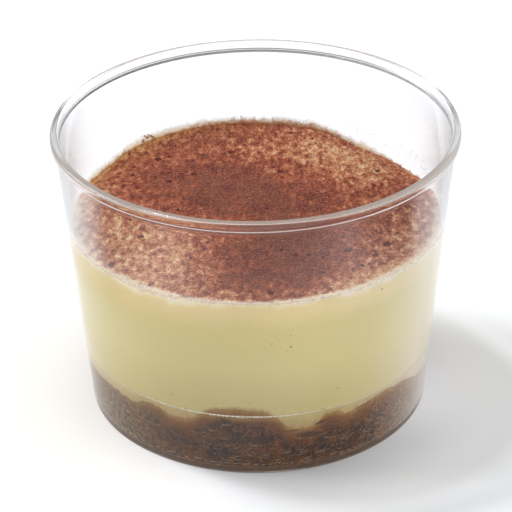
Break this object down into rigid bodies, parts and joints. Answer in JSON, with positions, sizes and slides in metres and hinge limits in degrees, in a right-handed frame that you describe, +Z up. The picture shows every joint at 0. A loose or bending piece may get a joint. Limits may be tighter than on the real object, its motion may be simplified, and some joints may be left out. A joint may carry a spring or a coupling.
{
  "type": "tiramisu pot",
  "caption": "Clear tapered pot with an outward lip, filled with a layered tiramisu: soaked sponge below, pale cream above it and a cocoa dusting on top.",
  "frame": {"origin": "middle of the pot's flat underside, on the surface it stands on", "axes": "+Z up along the pot's axis; the picture's camera stands towards -Y and looks along +Y, with +X to its right"},
  "size_m": [0.08, 0.08, 0.059],
  "materials": {
    "clear_plastic": "clear, colourless and glossy",
    "soaked_sponge": "coffee-soaked sponge, moist",
    "cream": "smooth mascarpone cream",
    "cocoa": "fine cocoa powder, matt"
  },
  "bodies": {
    "root": {"cup": "clear_plastic", "sponge": "soaked_sponge", "cream": "cream", "cocoa": "cocoa"}
  },
  "joints": []
}
